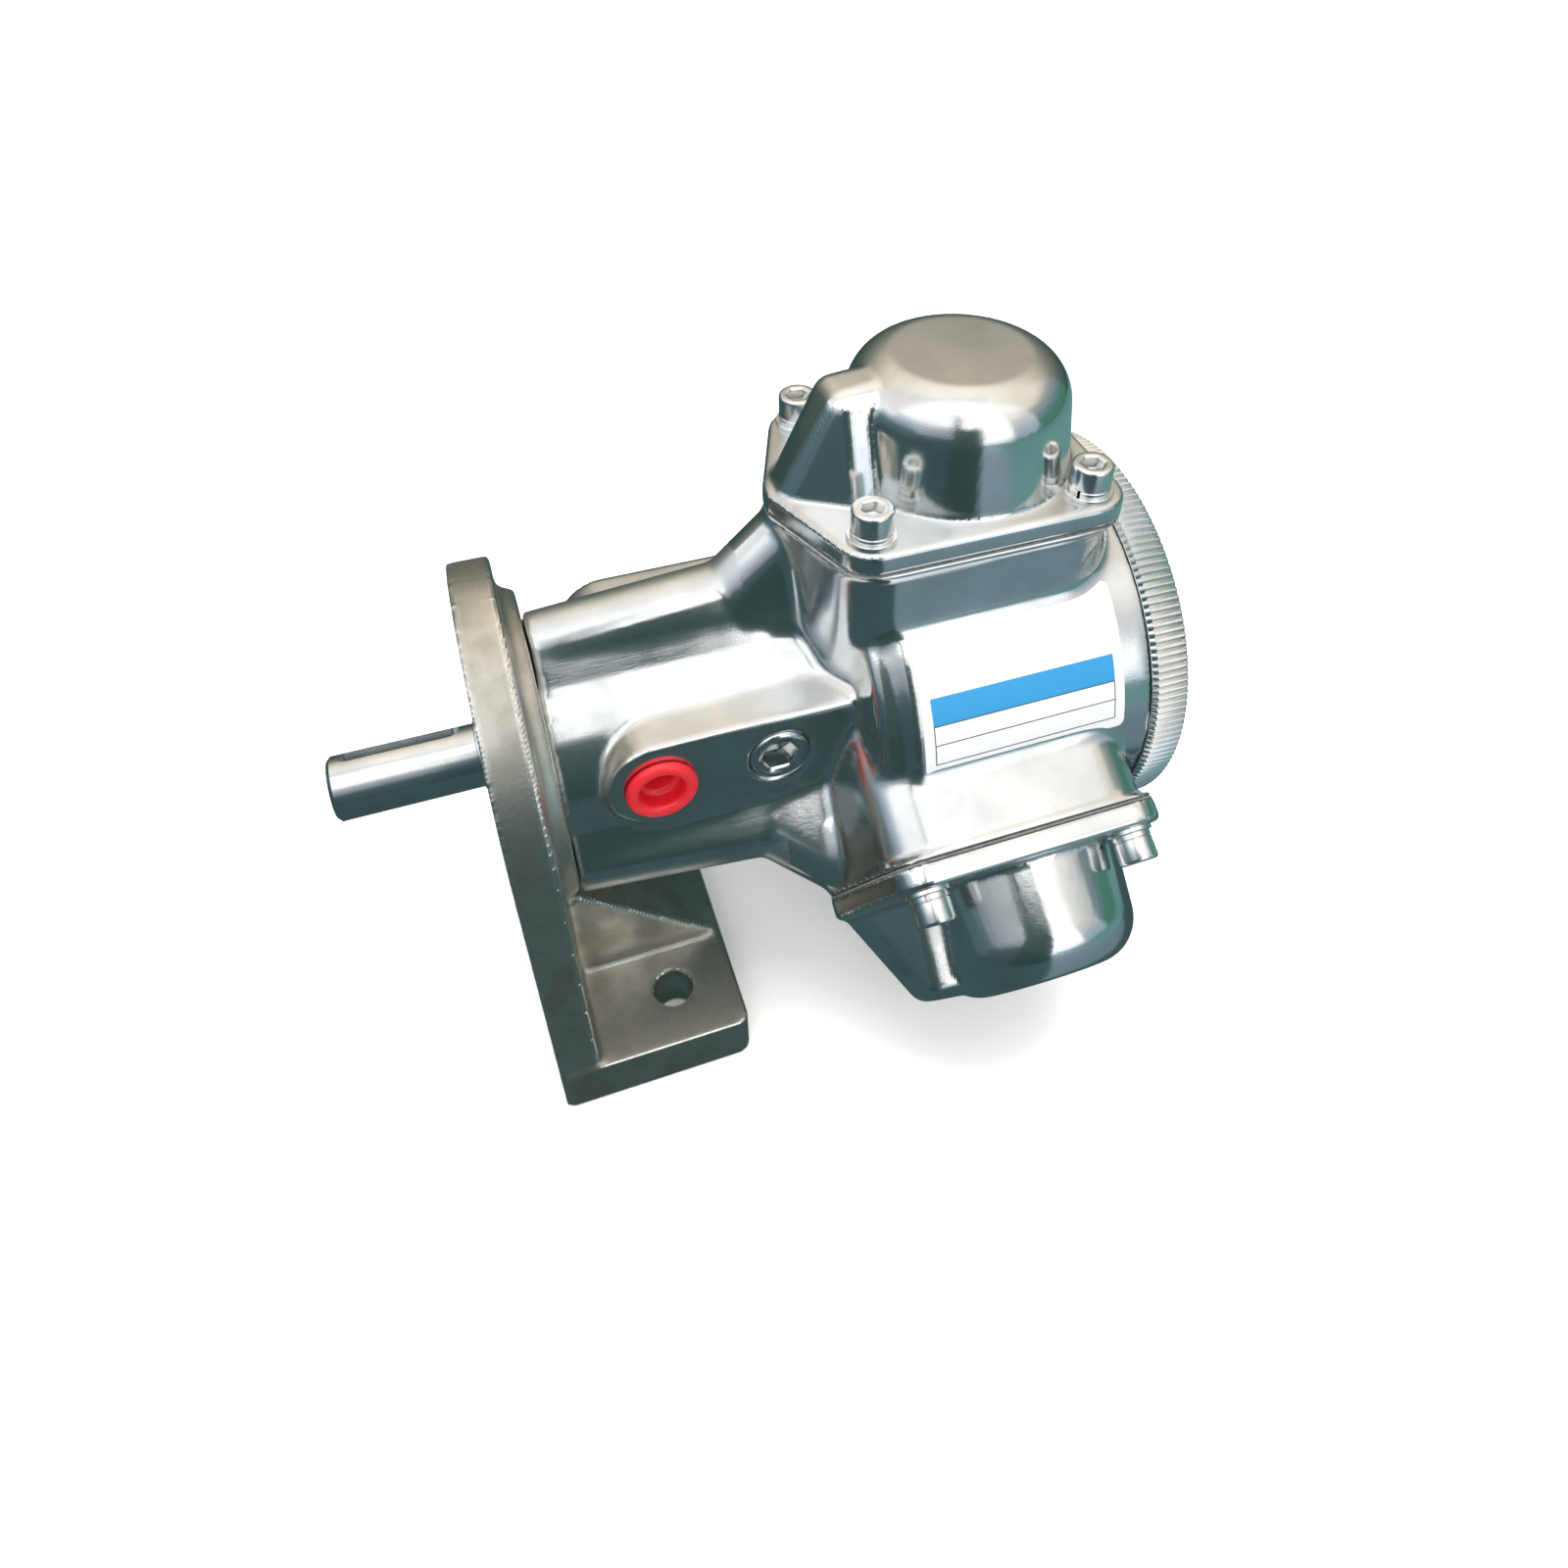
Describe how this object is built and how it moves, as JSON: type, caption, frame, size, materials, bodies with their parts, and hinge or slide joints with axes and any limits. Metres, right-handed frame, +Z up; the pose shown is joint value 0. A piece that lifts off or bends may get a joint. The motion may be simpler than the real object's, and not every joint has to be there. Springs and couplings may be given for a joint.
{
  "type": "air motor",
  "caption": "Radial piston air motor with a ribbed cast housing, domed cylinder covers, keyed output shaft, plugged side ports and a foot bracket.",
  "frame": {"origin": "on the shaft axis, in the plane of the foot bracket's front face", "axes": "+X along the shaft to the rear cap, -X out along the shaft's free end, +Z up from the foot, +Y to the side without the sticker"},
  "size_m": [0.1785, 0.1536, 0.1508],
  "materials": {
    "bracket_casting": "cast, faced and brushed, slightly matte",
    "housing_casting": "cast and polished",
    "cover_casting": "cast and polished, satin on top",
    "knurled_cap": "turned and knurled",
    "shaft_steel": "ground",
    "screw_steel": "bright, rolled knurl",
    "plug_steel": "bright",
    "bearing_steel": "ground",
    "inner_aluminium": "machined",
    "liner_iron": "honed bore",
    "bronze": "machined bearing bronze",
    "ring_polymer": "filled seal material",
    "seal_rubber": "nitrile rubber",
    "gasket_sheet": "pressed gasket sheet",
    "cap_red": "moulded shipping cap",
    "sticker": "coated paper, blank but for a band and ruled boxes"
  },
  "bodies": {
    "frame": {"foot_bracket": "bracket_casting", "housing": "housing_casting", "shaft_seal": "seal_rubber", "front_bearing": "bearing_steel", "rear_bearing": "bearing_steel", "valve_sleeve": "bronze", "cylinder_liner_1": "liner_iron", "cover_gasket_1": "gasket_sheet", "cylinder_cover_1": "cover_casting", "flat_washers_1": "screw_steel", "spring_washers_1": "screw_steel", "cover_screws_1": "screw_steel", "cylinder_liner_2": "liner_iron", "cover_gasket_2": "gasket_sheet", "cylinder_cover_2": "cover_casting", "flat_washers_2": "screw_steel", "spring_washers_2": "screw_steel", "cover_screws_2": "screw_steel", "cylinder_liner_3": "liner_iron", "cover_gasket_3": "gasket_sheet", "cylinder_cover_3": "cover_casting", "flat_washers_3": "screw_steel", "spring_washers_3": "screw_steel", "cover_screws_3": "screw_steel", "bracket_screws": "screw_steel", "rear_cap": "knurled_cap", "rear_cap_seal": "seal_rubber", "port_plugs": "cap_red", "hex_plugs": "plug_steel", "label": "sticker"},
    "crank": {"crankshaft": "shaft_steel", "front_bearing_race": "bearing_steel", "rear_bearing_race": "bearing_steel", "valve_spool": "bearing_steel", "crankpin_bearing": "bronze", "crankpin_washer": "bearing_steel", "crankpin_screw": "screw_steel"},
    "rod_1": {"connecting_rod_1": "inner_aluminium", "wrist_pin_1": "bearing_steel", "rod_retaining_rings": "bearing_steel"},
    "rod_2": {"connecting_rod_2": "inner_aluminium", "wrist_pin_2": "bearing_steel"},
    "rod_3": {"connecting_rod_3": "inner_aluminium", "wrist_pin_3": "bearing_steel"},
    "piston_1": {"piston_1": "inner_aluminium", "piston_rings_1": "ring_polymer"},
    "piston_2": {"piston_2": "inner_aluminium", "piston_rings_2": "ring_polymer"},
    "piston_3": {"piston_3": "inner_aluminium", "piston_rings_3": "ring_polymer"}
  },
  "joints": [
    {"name": "crank_spin", "type": "hinge", "parent": "frame", "child": "crank", "pos_m": [0, 0, 0], "axis": [1, 0, 0], "continuous": true},
    {"name": "rod_1_swing", "type": "hinge", "parent": "crank", "child": "rod_1", "pos_m": [0.1058, 0, 0.005], "axis": [1, 0, 0], "continuous": true},
    {"name": "rod_2_swing", "type": "hinge", "parent": "crank", "child": "rod_2", "pos_m": [0.1058, 0, 0.005], "axis": [1, 0, 0], "continuous": true},
    {"name": "rod_3_swing", "type": "hinge", "parent": "crank", "child": "rod_3", "pos_m": [0.1058, 0, 0.005], "axis": [1, 0, 0], "continuous": true},
    {"name": "piston_1_slide", "type": "slide", "parent": "frame", "child": "piston_1", "axis": [0, 0, 1], "range_m": [-0.01, 0]},
    {"name": "piston_2_slide", "type": "slide", "parent": "frame", "child": "piston_2", "axis": [0, -0.866, -0.5], "range_m": [-0.0023, 0.0077]},
    {"name": "piston_3_slide", "type": "slide", "parent": "frame", "child": "piston_3", "axis": [0, 0.866, -0.5], "range_m": [-0.0023, 0.0077]}
  ],
  "couplings": [
    {"joint": "rod_1_swing", "follows": "crank_spin", "ratio": -1},
    {"joint": "rod_2_swing", "follows": "crank_spin", "ratio": -1},
    {"joint": "rod_3_swing", "follows": "crank_spin", "ratio": -1}
  ]
}
